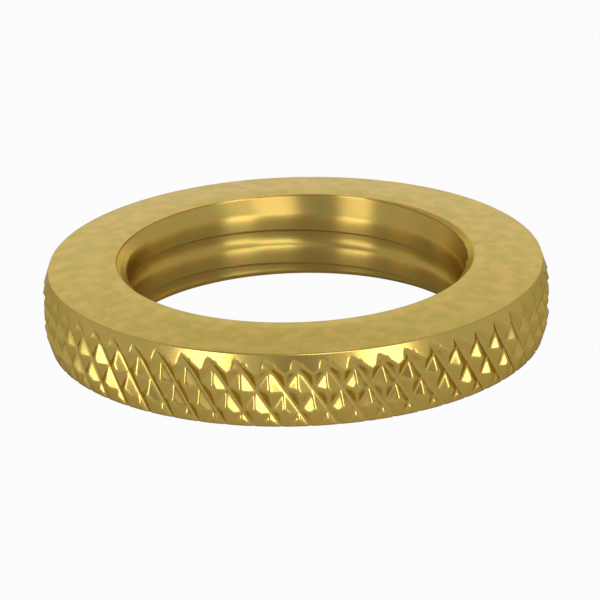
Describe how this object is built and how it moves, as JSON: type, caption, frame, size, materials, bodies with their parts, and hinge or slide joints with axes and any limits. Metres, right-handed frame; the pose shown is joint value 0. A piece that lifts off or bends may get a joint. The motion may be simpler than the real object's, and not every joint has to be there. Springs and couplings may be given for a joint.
{
  "type": "knurled thumb nut",
  "caption": "Thin round brass thumb nut with a diamond-knurled rim and a countersunk, tapped through bore, turned in one piece.",
  "frame": {"origin": "middle of the underside, on the axis of the thread", "axes": "+Z along the axis of the thread, from the underside to the upper face; +X and +Y are radial"},
  "size_m": [0.014, 0.014, 0.0024],
  "materials": {
    "brass": "satin turned faces, bright knurled rim"
  },
  "bodies": {
    "root": {"knurled_nut": "brass"}
  },
  "joints": []
}
